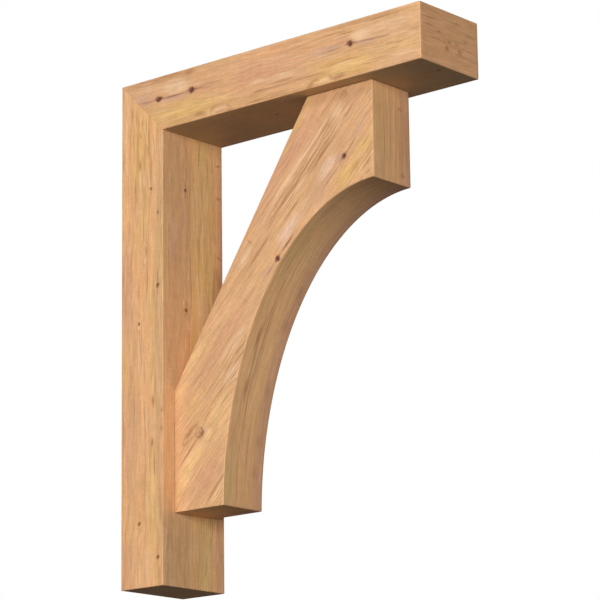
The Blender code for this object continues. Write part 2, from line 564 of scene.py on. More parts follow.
POST_BUSY = (
    (1.7, 27.5, 4.5, 0.9, 0.45),
    (2.6, 12.5, 2.5, 0.45, 0.2),
    (2.6, 7.0, 2.5, 0.45, 0.1),
    (3.1, 14.0, 4.0, 0.5, -0.3),
    (1.7, 14.5, 2.5, 0.5, 0.3),
    (0.9, 8.0, 8.5, 1.1, -0.4),
    (2.9, 21.0, 3.0, 0.6, -0.25),
)
POST_MARKS = (
    (2.08, 20.95, 0.45, 0.14, 0.9),
    (1.6, 26.6, 0.5, 0.18, 0.9),
    (1.4, 27.6, 1.7, 0.1, 0.7),
    (2.35, 27.9, 3.2, 0.08, 0.9),
    (2.0, 27.4, 1.8, 0.08, 0.6),
    (1.05, 28.0, 1.8, 0.08, 0.7),
    (1.2, 24.6, 2.6, 0.08, 0.8),
    (2.5, 25.9, 1.4, 0.08, 0.9),
    (2.75, 27.3, 2.4, 0.07, 0.6),
    (1.9, 22.4, 1.6, 0.07, 0.7),
    (2.2, 18.9, 2.2, 0.08, 0.7),
    (1.5, 29.3, 0.8, 0.07, 0.9),
    (1.3, 29.6, 0.7, 0.07, 0.8),
    (1.75, 29.2, 0.9, 0.07, 0.8),
    (0.9, 30.0, 0.7, 0.07, 0.8),
    (2.1, 29.0, 0.9, 0.07, 0.7),
    (0.9, 16.9, 1.0, 0.08, 0.7),
    (0.35, 17.6, 1.4, 0.08, 0.6),
    (0.2, 10.0, 5.0, 0.07, 0.5),
    (1.1, 11.0, 2.5, 0.07, 0.5),
    (2.0, 9.5, 2.5, 0.07, 0.5),
    (1.25, 25.0, 1.2, 0.09, 0.6),
    (0.9, 20.5, 1.7, 0.1, 0.5),
    (2.65, 11.4, 0.55, 0.17, 0.9),
    (2.82, 12.6, 1.2, 0.09, 0.9),
    (2.65, 8.75, 0.45, 0.17, 0.9),
    (2.82, 7.4, 1.4, 0.09, 0.8),
    (3.38, 10.75, 0.28, 0.13, 0.9),
    (3.38, 9.6, 0.28, 0.13, 0.9),
    (1.7, 14.5, 1.7, 0.09, 0.6),
    (2.0, 6.0, 2.5, 0.09, 0.5),
    (1.5, 18.6, 1.2, 0.08, 0.4),
    (2.5, 3.6, 1.4, 0.08, 0.5),
)
POST_FRONT_COLOURS = (
    (-1.1, 24.0, 5.0, 0.8, PINK, 0.3),
    # Painted light: a brighter orange strip between the near side and the brace, for light bounced off the
    # brace's lit side.
    (-2.5, 8.0, 6.0, 0.5, APRICOT, 0.6),
    (-0.2, 24.5, 4.0, 0.2, OLIVE, 0.6),
    (-1.7, 20.0, 1.6, 0.35, ROSE, 0.4),
    (1.9, 22.0, 7.0, 0.2, GOLD, 0.35),
    (-2.6, 20.0, 5.0, 0.35, OLIVE, 0.5),
    (2.55, 19.0, 16.0, 0.5, ROSE, 0.7),
    (-1.8, 21.5, 2.4, 0.45, LAVENDER, 0.45),
    (-1.7, 22.3, 1.2, 0.4, PALE, 0.4),
    (0.35, 24.5, 1.2, 0.3, PALE, 0.35),
    (0.25, 22.8, 0.8, 0.3, PALE, 0.35),
    (0.35, 19.3, 0.9, 0.3, PALE, 0.4),
    (0.9, 17.0, 2.5, 0.8, PALE, 0.35),
    (0.3, 2.6, 1.5, 0.7, PALE, 0.3),
    (2.3, 2.0, 4.0, 0.55, ROSE, 0.6),
    (-0.95, 24.6, 0.35, 0.1, PALE, 0.6),
    (-0.85, 17.7, 0.35, 0.1, PALE, 0.6),
)
POST_FRONT_MARKS = (
    (0.6, 27.6, 1.6, 0.07, 0.9),
    (0.85, 25.0, 2.2, 0.06, 0.7),
    (0.55, 21.5, 2.2, 0.06, 0.6),
    (-0.25, 25.0, 4.0, 0.07, 0.6),
    (-0.2, 19.5, 4.0, 0.07, 0.5),
    (-1.0, 22.8, 1.0, 0.06, 0.7),
    (-2.2, 20.5, 2.5, 0.06, 0.5),
    (2.05, 24.0, 5.0, 0.06, 0.5),
    (1.9, 18.5, 3.0, 0.06, 0.5),
    (1.4, 26.5, 2.0, 0.05, 0.5),
    (1.0, 2.0, 1.6, 0.06, 0.6),
    (0.2, 2.2, 2.0, 0.05, 0.5),
)


def post_wood():
    """Flat-sawn on its sides, with the pith behind the far side, and close straight grain on its front."""
    base = seen(238, 180, 124)
    wood = Grain("post_wood", Straight(UP, OUT), (0.045, 0.055), 1.0, base, busy=0.65, fibres=1.1)
    wood.colour_patches(near_side, POST_COLOURS)
    for x, z, long, wide, height in (
        (1.95, 20.9, 1.8, 0.42, 0.01),
        (1.6, 26.6, 2.6, 0.45, 0.01),
        (2.65, 11.5, 1.6, 0.35, 0.008),
        (2.65, 8.75, 1.6, 0.35, 0.008),
    ):
        wood.swirl(near_side(x, z), inches(long, wide, SWIRL_DEEP), height)
    wood.busy_patches(near_side, POST_BUSY)
    wood.thin_marks(near_side, POST_MARKS)
    for x, z, radius, tails, strength in (
        (1.5, 16.4, 0.0032, (0.026, 0.02), 0.65),
        (2.47, 24.87, 0.0026, (0.012, 0.09), 0.58),
        (3.08, 23.25, 0.0034, (0.012, 0.01), 0.4),
        (3.1, 18.6, 0.0036, (0.024, 0.026), 0.85),
        (1.54, 3.93, 0.0032, (0.02, 0.018), 0.65),
        (3.1, 1.75, 0.0034, (0.015, 0.018), 0.8),
    ):
        wood.knot(near_side(x, z), radius, tails, strength, False, KNOT_BROWN, BROWN)
    # Front: tan, then lighter olive, then mauve towards the far side, with painted bounce light in a strip
    # beside the brace.
    front_tan = seen(213, 167, 118)
    front_olive = seen(225, 182, 116)
    wood.tint(post_front(-1.6, 15.0), inches(24.0, DEEP, 1.9), front_tan, 0.95, 0.75)
    wood.tint(post_front(0.9, 15.0), inches(24.0, DEEP, 1.3), front_olive, 0.9, 0.6)
    for y, z, long, wide, colour, amount in POST_FRONT_COLOURS:
        wood.tint(post_front(y, z), inches(long, DEEP, wide), colour, amount)
    wood.busy(post_front(0.9, 16.0), inches(18.0, DEEP, 1.2), -0.12)
    wood.busy(post_front(-1.5, 16.0), inches(18.0, DEEP, 1.2), -0.38)
    for y, z, long, wide, amount in POST_FRONT_MARKS:
        wood.streak(post_front(y, z), inches(long, THIN, wide), amount, BROWN)
    for y, z in ((2.4, 27.2), (2.4, 25.1), (2.4, 21.1), (2.3, 14.0)):
        wood.streak(post_front(y, z), inches(0.14, THIN, 0.36), 0.6, STREAK)
    for y, z in ((-0.68, 24.95), (-0.65, 17.3)):
        wood.knot(post_front(y, z), 0.0032, (0.016, 0.022), 0.8, True, KNOT_BROWN, BROWN)
    # The far side and the back, which the photograph doesn't show.
    wood.knot(Vector((0.035, HALF_WIDTH, 0.21)), 0.0045, (0.03, 0.05))
    wood.knot(Vector((0.06, HALF_WIDTH, -0.12)), 0.004, (0.04, 0.02))
    wood.knot(Vector((0.0, -0.02, 0.1)), 0.0045, (0.03, 0.03), lies_across=True)
    wood.knot(Vector((0.0, 0.03, -0.22)), 0.004, (0.02, 0.04), lies_across=True)
    return wood.finish()


BEAM_COLOURS = (
    (5.4, 29.3, 4.9, 0.95, SUN, 0.8),
    (18.4, 29.3, 4.0, 0.95, SUN, 0.8),
    (21.9, 30.5, 3.4, 1.4, BUFF, 0.6),
    (19.5, 28.75, 0.8, 0.22, GOLD, 0.7),
    (17.4, 29.72, 1.8, 0.2, GOLD, 0.6),
    (5.0, 30.6, 4.6, 0.6, ROSE, 0.25),
    (17.6, 30.75, 2.4, 0.7, ROSE, 0.35),
    (22.3, 29.6, 2.6, 1.2, YELLOW, 0.4),
    (6.7, 29.7, 1.4, 0.25, GOLD, 0.6),
    (18.0, 29.7, 2.0, 0.25, GOLD, 0.6),
    (18.9, 28.8, 1.6, 0.25, GOLD, 0.4),
    (11.8, 30.6, 4.4, 1.8, BLUSH, 0.8),
    (10.6, 30.3, 1.6, 0.7, ROSE, 0.35),
    (12.5, 31.5, 3.0, 0.5, APRICOT, 0.7),
    (14.6, 29.5, 1.4, 0.8, PINK, 0.5),
    (1.8, 30.7, 1.5, 0.7, LAVENDER, 0.7),
    (7.3, 30.6, 1.6, 0.45, ROSE, 0.6),
    (16.9, 30.6, 2.2, 0.4, LAVENDER, 0.7),
    (18.2, 30.9, 0.7, 0.4, ROSE, 0.7),
    (20.0, 30.45, 1.2, 0.3, LAVENDER, 0.7),
    (4.4, 30.35, 1.6, 0.28, LAVENDER, 0.9),
    (4.6, 31.05, 1.6, 0.7, PALE, 1.0),
    (4.5, 30.9, 0.5, 0.25, OLIVE, 0.5),
    (19.5, 31.0, 0.9, 0.65, PALE, 0.9),
    (21.5, 31.2, 3.2, 0.45, PALE, 0.3),
    (22.5, 29.0, 2.0, 0.6, PALE, 0.3),
    (11.4, 29.85, 1.0, 0.24, PALE, 0.7),
    (13.4, 29.8, 1.8, 0.26, PALE, 0.7),
    (7.6, 28.65, 0.5, 0.22, GLOW, 0.9),
    (8.4, 28.85, 1.0, 0.3, PALE, 0.5),
    (16.6, 28.75, 0.9, 0.32, GLOW, 0.8),
    (3.2, 31.85, 3.8, 0.28, BROWN, 0.6),
    (19.8, 31.8, 4.2, 0.2, BROWN, 0.5),
    (5.8, 31.75, 0.7, 0.25, BROWN, 0.6),
)
BEAM_BUSY = (
    (5.5, 29.2, 3.5, 0.6, 0.35),
    (18.5, 29.2, 3.5, 0.6, 0.35),
    (12.8, 29.5, 2.8, 0.6, 0.5),
    (12.8, 28.7, 2.8, 0.3, 0.5),
    (3.5, 31.7, 4.0, 0.4, 0.4),
    (20.0, 31.6, 4.5, 0.4, 0.4),
    (9.5, 30.8, 2.0, 0.7, -0.25),
    (16.5, 30.9, 2.0, 0.7, -0.25),
    (22.0, 30.7, 2.5, 0.5, -0.2),
)
BEAM_MARKS = (
    (6.65, 28.82, 0.85, 0.26, 0.9),
    (17.9, 28.76, 0.85, 0.28, 0.9),
    (12.9, 29.25, 2.8, 0.09, 0.9, LINE),
    (11.4, 29.27, 0.9, 0.1, 0.9),
    (13.0, 28.65, 2.8, 0.09, 0.8, LINE),
    (11.2, 28.7, 1.4, 0.08, 0.8),
    (4.2, 29.15, 2.6, 0.06, 0.6, LINE),
    (6.0, 29.4, 3.4, 0.06, 1.0, GLOW),
    (6.9, 29.22, 2.2, 0.05, 0.8, GLOW),
    (5.2, 28.95, 1.8, 0.05, 0.7, GLOW),
    (13.5, 29.95, 1.6, 0.05, 0.9, PALE),
    (13.3, 29.62, 1.6, 0.05, 0.8, PALE),
    (12.9, 28.95, 1.6, 0.05, 0.7, PALE),
    (18.6, 29.34, 2.6, 0.07, 1.0, GLOW),
    (15.4, 29.27, 2.0, 0.06, 0.8),
    (8.8, 30.2, 1.2, 0.05, 0.6, LINE),
    (9.2, 31.15, 1.8, 0.05, 0.5, PALE),
    (14.8, 31.5, 2.4, 0.06, 0.7, PALE),
    (21.3, 31.3, 2.4, 0.05, 0.8, PALE),
    (16.6, 30.33, 1.2, 0.05, 0.6, GLOW),
    (3.6, 29.35, 1.0, 0.07, 0.9, GLOW),
    (19.4, 29.25, 1.6, 0.06, 0.9, GLOW),
    (20.0, 29.05, 3.0, 0.06, 0.7, LINE),
    (18.0, 29.62, 3.0, 0.06, 0.6),
    (17.2, 30.15, 1.4, 0.06, 0.8, PALE),
    (21.8, 29.95, 0.7, 0.08, 0.8),
    (22.5, 29.85, 0.8, 0.09, 0.9),
    (23.6, 30.42, 0.7, 0.09, 0.9),
    (22.6, 30.15, 0.8, 0.06, 0.6),
    (3.0, 31.62, 2.8, 0.07, 0.8),
    (5.8, 31.55, 1.2, 0.06, 0.6),
    (9.5, 31.5, 1.6, 0.06, 0.6, LINE),
    (17.0, 31.45, 2.0, 0.07, 0.8),
    (18.4, 31.32, 0.9, 0.06, 0.8),
    (21.0, 31.68, 2.6, 0.08, 0.8),
    (13.5, 31.15, 1.6, 0.06, 0.6, LINE),
    (11.6, 30.85, 0.6, 0.06, 0.6),
    (13.0, 30.65, 1.8, 0.05, 0.6, PALE),
    (13.6, 30.35, 1.6, 0.05, 0.6, PALE),
    (2.2, 31.2, 1.2, 0.06, 0.6, PALE),
    (2.5, 31.4, 1.6, 0.06, 0.6, PALE),
    (20.0, 30.5, 1.9, 0.1, 1.0, STREAK),
    (21.3, 30.46, 0.8, 0.07, 0.7),
    (17.4, 30.5, 1.2, 0.08, 0.5, STREAK),
    (2.2, 30.52, 1.0, 0.1, 0.6, STREAK),
    (4.5, 30.5, 1.9, 0.11, 1.0, STREAK),
    (6.6, 30.52, 0.6, 0.08, 0.6, STREAK),
)


def beam_wood():
    """Pink above and yellow below, from a pith well below the timber."""
    base = seen(222, 170, 120)
    pith = (BEAM_UNDERSIDE - 0.13, 0.01)
    wood = Grain("beam_wood", Straight(OUT, UP), pith, 2.0, base, 0.004, busy=0.5, fibres=1.1)
    wood.colour_patches(near_side, BEAM_COLOURS)
    for x, z, long, wide in (
        (6.7, 28.8, 1.6, 0.5),
        (8.1, 28.85, 1.7, 0.55),
        (17.9, 28.75, 1.6, 0.5),
        (16.6, 28.8, 1.7, 0.6),
    ):
        wood.swirl(near_side(x, z), inches(long, wide, SWIRL_DEEP), 0.01)
    wood.busy_patches(near_side, BEAM_BUSY)
    wood.thin_marks(near_side, BEAM_MARKS)
    wood.rim(near_side(8.3, 28.72), inches(1.0, 0.36, SWIRL_DEEP), 0.45, BROWN)
    wood.rim(near_side(16.5, 28.55), inches(1.1, 0.5, SWIRL_DEEP), 0.6, BROWN, 0.4)
    wood.knot(near_side(3.14, 30.55), 0.0056, (0.012, 0.012))
    wood.knot(near_side(5.98, 30.55), 0.0056, (0.012, 0.014))
    wood.knot(near_side(18.73, 30.57), 0.0056, (0.012, 0.014))
    # The far side and the top, which the photograph doesn't show.
    wood.knot(Vector((0.21, HALF_WIDTH, 0.352)), 0.005, (0.03, 0.04))
    wood.knot(Vector((0.47, HALF_WIDTH, 0.375)), 0.0045, (0.05, 0.03))
    wood.knot(Vector((0.16, 0.03, TOP)), 0.005, (0.04, 0.03), lies_across=True)
    wood.knot(Vector((0.42, -0.02, TOP)), 0.0045, (0.03, 0.05), lies_across=True)
    return wood.finish()


def beam_under_wood_and_shade():
    """The beam's underside: nearly plain wood, painted dark and even as shade, and darker still by the post.
    """
    # Painted shade: the underside's colour is darker than the sides' to stand for the shade under the beam.
    base = seen(197, 162, 118)
    wood = Grain("beam_under_wood_and_shade", Straight(OUT, SIDEWAYS, UP), (-0.3, 0.0), 4.0, base, busy=0.15, hue=0.0)
    # Painted shade: darker still from the post out towards the brace, in the recess between post, beam and
    # brace.
    wood.tint(beam_under(4.5, 0.0), inches(5.5, 3.6, DEEP), seen(176, 148, 114), 0.9, 0.4)
    for x, y in ((10.8, -0.25), (23.3, -0.25)):
        wood.streak(beam_under(x, y), inches(0.25, 0.12, THIN), 1.0, KNOT)
        wood.streak(beam_under(x - 0.3, y), inches(0.7, 0.05, THIN), 0.7, STREAK)
    return wood.finish()


BEAM_END_MARKS = (
    (-0.2, 29.72, 0.32, 0.28, 0.8),
    (1.0, 29.72, 0.32, 0.28, 0.8),
    (0.05, 30.1, 0.26, 0.14, 0.7),
    (0.75, 30.1, 0.26, 0.14, 0.7),
    (-0.45, 30.0, 0.15, 0.1, 0.7),
    (1.3, 29.95, 0.15, 0.1, 0.7),
    (-1.0, 30.5, 0.4, 0.11, 0.8),
    (1.6, 30.5, 0.4, 0.11, 0.8),
    (-1.8, 31.2, 1.0, 0.06, 0.9),
    (-2.0, 30.75, 0.7, 0.07, 0.9),
    (-1.9, 30.3, 0.9, 0.06, 0.9),
    (-1.2, 30.05, 1.0, 0.06, 0.7),
    (1.9, 30.9, 0.8, 0.06, 0.7),
    (1.9, 29.9, 0.6, 0.06, 0.6),
    (0.5, 31.4, 1.2, 0.05, 0.6),
)


def beam_end_wood():
    """The beam's outer end: nearly level brown lines, with blotches in two pairs about the middle."""
    base = seen(222, 166, 119)
    layout = Straight(SIDEWAYS, UP, OUT)
    wood = Grain("beam_end_wood", layout, (-0.2, 0.0), 5.0, base, 0.0035, busy=0.55, hue=0.15)
    wood.tint(beam_end(0.3, 30.45), inches(0.9, 0.3, DEEP), OLIVE, 0.5)
    wood.tint(beam_end(-1.8, 29.9), inches(1.2, 0.6, DEEP), APRICOT, 0.4)
    wood.tint(beam_end(0.4, 29.5), inches(0.25, 0.25, DEEP), PALE, 0.5)
    wood.thin_marks(beam_end, BEAM_END_MARKS)
    return wood.finish()


BRACE_COLOURS = (
    (15.8, 25.6, 5.5, 2.8, DUN, 0.55),
    (13.4, 25.5, 4.6, 1.3, BLUSH, 0.75),
    (12.6, 24.6, 3.4, 0.8, ROSE, 0.45),
    (10.9, 22.3, 2.6, 0.8, ROSE, 0.55),
    (12.8, 25.6, 0.7, 0.22, SUN, 0.8),
    (13.6, 26.8, 0.9, 0.28, SUN, 0.8),
    (14.5, 27.9, 0.9, 0.3, SUN, 0.7),
    (10.1, 20.9, 0.7, 0.25, ORANGE, 0.8),
    (15.4, 22.4, 2.0, 0.6, LAVENDER, 0.45),
    (18.0, 27.5, 1.6, 0.6, ROSE, 0.5),
    (16.9, 27.9, 0.5, 0.3, ROSE, 0.6),
    (13.3, 24.0, 4.2, 0.26, PALE, 0.65),
    (16.7, 26.95, 0.9, 0.4, PALE, 0.95),
    (12.9, 20.5, 1.9, 0.6, PEARL, 0.9),
    (14.4, 21.9, 2.0, 0.6, PALE, 0.3),
    (15.9, 23.7, 1.5, 0.55, PEARL, 0.9),
    (14.9, 22.5, 2.2, 0.9, DUN, 0.45),
    (10.6, 17.4, 3.2, 0.8, DUN, 0.35),
    (12.6, 22.6, 4.0, 0.7, DUN, 0.35),
    (16.8, 24.1, 0.5, 0.3, LAVENDER, 0.9),
    (18.4, 25.6, 1.2, 0.3, LAVENDER, 0.7),
    (18.3, 24.6, 1.0, 0.3, OLIVE, 0.4),
    (17.7, 23.2, 2.0, 0.7, SUN, 0.85),
    (19.0, 24.7, 1.5, 0.5, SUN, 0.8),
    (18.2, 23.5, 1.4, 0.3, GOLD, 0.5),
    (9.3, 19.3, 1.2, 0.45, PALE, 0.6),
    (9.4, 18.6, 0.8, 0.3, OLIVE, 0.4),
    (11.2, 18.2, 0.9, 0.35, LAVENDER, 0.6),
    (9.8, 21.2, 1.2, 0.4, APRICOT, 0.5),
    (8.2, 15.4, 2.8, 0.6, BLUSH, 0.7),
    (6.4, 13.2, 3.0, 0.75, ROSE, 0.6),
    (5.2, 13.9, 2.2, 0.5, GLOW, 0.6),
    (4.3, 12.0, 1.2, 0.4, GLOW, 0.5),
    (8.6, 14.4, 1.7, 0.3, PALE, 0.9),
    (8.2, 12.4, 1.2, 0.45, PALE, 0.8),
    (5.0, 10.8, 1.2, 0.5, SUN, 0.5),
    (6.6, 11.6, 1.6, 0.4, DUN, 0.5),
    (7.2, 10.2, 1.6, 0.9, GLOW, 0.65),
    (7.6, 9.3, 1.6, 0.6, GLOW, 0.4),
    (6.3, 9.0, 0.6, 0.35, GLOW, 1.0),
    (6.2, 9.3, 0.3, 0.25, PALE, 0.6),
    (5.0, 7.6, 2.2, 0.55, GLOW, 1.0),
    (4.3, 6.3, 1.3, 0.55, GLOW, 0.8),
    (4.4, 9.6, 1.2, 0.5, APRICOT, 0.5),
    (6.2, 6.5, 2.2, 1.3, BLUSH, 0.7),
    (5.2, 5.4, 1.4, 0.8, PINK, 0.6),
    (7.0, 5.2, 0.9, 0.45, GLOW, 0.8),
)
BRACE_BUSY = (
    (13.8, 23.6, 5.0, 0.9, 0.9),
    (16.8, 26.5, 2.4, 0.9, 0.4),
    (10.2, 19.4, 2.5, 0.7, 0.6),
    (18.8, 23.8, 1.2, 0.6, 0.9),
    (8.3, 13.4, 2.0, 0.9, 1.2),
    (8.2, 12.0, 1.2, 0.5, 0.8),
    (5.2, 10.0, 1.4, 0.6, 0.5),
    (4.6, 8.3, 1.4, 0.5, 0.3),
    (7.0, 5.8, 1.4, 0.8, 0.8),
    (6.6, 7.3, 1.4, 0.5, 0.4),
)
BRACE_MARKS = (
    (13.3, 23.15, 5.0, 0.1, 0.9),
    (15.0, 24.2, 3.2, 0.07, 0.8),
    (13.0, 22.1, 3.0, 0.07, 0.7, LINE),
    (12.0, 23.3, 3.0, 0.08, 0.7, GLOW),
    (14.9, 25.6, 3.0, 0.05, 0.9, PALE),
    (14.2, 25.3, 3.0, 0.05, 0.8, PALE),
    (11.0, 21.5, 2.4, 0.05, 0.8, PALE),
    (13.9, 23.1, 2.4, 0.05, 0.7, PALE),
    (15.4, 25.1, 1.8, 0.05, 0.7, PALE),
    (12.3, 21.6, 2.0, 0.05, 0.6, PALE),
    (16.4, 26.3, 1.5, 0.05, 0.7, PALE),
    (12.2, 24.7, 2.2, 0.05, 0.4, PALE),
    (17.6, 23.0, 1.0, 0.05, 0.8, GLOW),
    (18.6, 24.2, 1.2, 0.05, 0.8, GLOW),
    (19.0, 24.9, 0.8, 0.05, 0.7),
    (19.1, 23.55, 0.5, 0.16, 0.8),
    (8.0, 13.9, 1.8, 0.05, 1.0, PALE),
    (8.3, 14.5, 1.8, 0.05, 1.0, PALE),
    (8.9, 14.8, 1.4, 0.05, 0.9, PALE),
    (8.6, 13.8, 1.3, 0.05, 0.9, PALE),
    (7.4, 13.5, 1.4, 0.05, 0.8, PALE),
    (8.4, 14.2, 1.6, 0.05, 0.8),
    (8.2, 14.75, 1.4, 0.05, 0.6, LINE),
    (7.6, 13.15, 1.4, 0.05, 0.7, LINE),
    (8.6, 12.6, 0.7, 0.05, 1.0, PALE),
    (8.0, 12.1, 0.8, 0.05, 0.9, PALE),
    (5.7, 12.5, 2.0, 0.05, 0.5, PALE),
    (4.6, 9.9, 1.2, 0.05, 0.7, GLOW),
    (4.9, 10.3, 1.3, 0.05, 0.6, LINE),
    (6.7, 7.3, 1.2, 0.05, 0.6, LINE),
    (6.3, 6.4, 1.6, 0.05, 0.6, LINE),
    (6.1, 5.9, 1.4, 0.05, 0.5, LINE),
    (15.9, 27.4, 1.6, 0.06, 0.6),
    (12.0, 22.3, 3.0, 0.06, 0.7),
    (14.0, 24.6, 2.6, 0.06, 0.9, GLOW),
    (15.6, 24.6, 1.9, 0.13, 0.9),
    (16.3, 25.7, 1.2, 0.07, 0.8),
    (17.5, 26.7, 1.1, 0.12, 0.9),
    (13.2, 21.7, 1.4, 0.09, 0.9),
    (14.8, 23.1, 1.2, 0.06, 0.7),
    (10.8, 19.9, 2.0, 0.08, 0.9),
    (9.8, 18.2, 1.2, 0.08, 0.7),
    (10.0, 19.0, 1.2, 0.06, 0.8),
    (15.6, 26.0, 1.0, 0.07, 0.8, LINE),
    (16.1, 26.2, 0.1, 0.35, 0.5),
    (16.45, 23.25, 1.8, 0.09, 1.0, STREAK),
    (17.8, 24.75, 0.8, 0.1, 0.7, STREAK),
    (12.8, 19.7, 1.1, 0.11, 1.0, STREAK),
    (11.4, 18.3, 0.7, 0.1, 0.6, STREAK),
    (18.9, 23.35, 0.7, 0.13, 0.9),
    (19.1, 22.9, 0.4, 0.1, 0.8),
    (18.2, 23.6, 1.0, 0.06, 0.8),
    (8.3, 13.75, 1.6, 0.07, 0.9, GLOW),
    (8.2, 13.2, 1.4, 0.09, 0.9),
    (8.9, 13.4, 1.0, 0.07, 0.8),
    (7.45, 11.6, 2.5, 0.09, 1.0),
    (8.4, 12.3, 0.9, 0.09, 0.9),
    (8.2, 11.8, 0.5, 0.09, 0.8),
    (8.6, 12.0, 0.3, 0.06, 0.8),
    (7.65, 10.85, 1.1, 0.09, 1.0),
    (6.3, 10.2, 0.9, 0.06, 0.8),
    (5.9, 12.2, 2.2, 0.06, 0.5, LINE),
    (4.75, 8.1, 1.8, 0.12, 1.0),
    (4.8, 9.25, 0.7, 0.2, 0.9),
    (6.6, 5.3, 1.0, 0.08, 0.8),
    (7.0, 5.2, 0.6, 0.07, 0.8),
    (7.1, 5.9, 0.8, 0.06, 0.7),
    (8.0, 18.9, 0.9, 0.1, 0.7),
    (9.8, 20.3, 0.12, 0.5, 0.5),
    (15.2, 26.85, 0.12, 0.4, 0.4),
    (5.62, 9.15, 0.3, 0.26, 0.8, KNOT_RIM),
    (5.72, 9.08, 0.1, 0.09, 0.9, STREAK),
    (17.3, 28.0, 0.24, 0.2, 0.5),
)


def brace_wood():
    """Cut from a wide plank whose grain runs at 45 degrees. Lines of grain stand out in a few bands only."""
    base = seen(225, 173, 124)
    layout = Straight(DIAGONAL, ACROSS_DIAGONAL)
    wood = Grain("brace_wood", layout, (0.02, 0.09), 3.0, base, busy=0.38, hue=0.12, fibres=1.35)
    wood.colour_patches(brace_side, BRACE_COLOURS)
    wood.busy_patches(brace_side, BRACE_BUSY)
    wood.thin_marks(brace_side, BRACE_MARKS)
    wood.rim(brace_side(5.62, 9.15), inches(0.34, 0.3, THIN), 1.0, STREAK, 0.5)
    wood.rim(brace_side(4.85, 9.15), inches(0.75, 0.3, THIN), 0.6, BROWN, 0.6)
    wood.rim(brace_side(17.3, 28.0), inches(0.26, 0.22, THIN), 0.8, BROWN, 0.5)
    wood.swirl(brace_side(5.62, 9.15), inches(1.8, 0.8, SWIRL_DEEP), 0.01)
    wood.knot(brace_side(12.04, 18.93), 0.0052, (0.01, 0.01))
    wood.knot(brace_side(17.22, 24.15), 0.0052, (0.014, 0.012))
    # The far side, which the photograph doesn't show.
    wood.knot(Vector((0.2, BRACE_HALF_WIDTH, -0.05)), 0.005, (0.03, 0.03))
    wood.knot(Vector((0.37, BRACE_HALF_WIDTH, 0.22)), 0.0045, (0.04, 0.02))
    return wood.finish()


HOLLOW_MARKS = (
    (24.0, -0.85, 0.9, 0.14, 0.9),
    (34.0, -0.85, 1.2, 0.16, 0.9),
    (29.0, -0.7, 4.0, 0.07, 0.8),
    (42.0, -0.55, 4.0, 0.07, 0.8),
    (36.0, -0.35, 3.0, 0.06, 0.7),
    (20.0, -0.45, 3.5, 0.06, 0.7),
    (8.0, -0.6, 3.5, 0.06, 0.6),
    (12.0, 0.15, 5.0, 0.06, 0.6),
    (55.0, -0.2, 4.0, 0.06, 0.6),
    (48.0, 0.5, 4.0, 0.06, 0.4),
    (8.0, 1.0, 0.6, 0.45, 0.28, STREAK),
    (14.0, 1.1, 0.5, 0.5, 0.28, STREAK),
    (24.0, 1.2, 0.9, 0.5, 0.28, STREAK),
    (38.0, 1.1, 0.6, 0.5, 0.28, STREAK),
    (46.0, 1.2, 0.9, 0.5, 0.28, STREAK),
)
BRACE_END_MARKS = (
    (-0.7, 25.5, 3.2, 0.06, 0.8),
    (-0.1, 25.5, 3.2, 0.07, 0.8),
    (0.45, 25.5, 3.2, 0.06, 0.7),
    (0.9, 27.2, 0.14, 0.32, 0.6),
    (1.0, 23.1, 0.22, 0.28, 0.7),
)


def brace_edge_wood():
    """The brace's hollow edge, end face, foot and upper edge: olive at the near side and mauve at the far,
    with painted light over the middle of the hollow edge.
    """
    base = seen(228, 175, 122)
    wood = Grain("brace_edge_wood", Bent(), (-0.3, 0.0), 6.0, base, busy=0.4, hue=0.1)
    # Painted light: the middle of the hollow edge made lighter, where the turning face catches more light.
    wood.tint(on_hollow(38.0, 0.0), inches(12.0, 3.0, DEEP), seen(246, 191, 134), 0.9, 0.2)
    wood.tint(brace_end(-1.0, 25.5), inches(3.6, 0.9, DEEP), OLIVE, 0.4)
    wood.tint(on_hollow(45.0, 1.4), inches(60.0, 0.9, DEEP), MAUVE, 0.65)
    wood.tint(on_hollow(6.0, -1.3), inches(2.6, 0.6, DEEP), OLIVE, 0.9)
    wood.tint(on_hollow(56.0, -1.1), inches(3.6, 0.8, DEEP), OLIVE, 0.5)
    wood.tint(brace_end(1.2, 25.5), inches(3.6, 1.0, DEEP), BROWN, 0.25)
    wood.busy(on_hollow(30.0, -0.6), inches(9.0, 0.8, DEEP), 0.5)
    wood.thin_marks(on_hollow, HOLLOW_MARKS)
    wood.thin_marks(brace_end, BRACE_END_MARKS)
    return wood.finish()


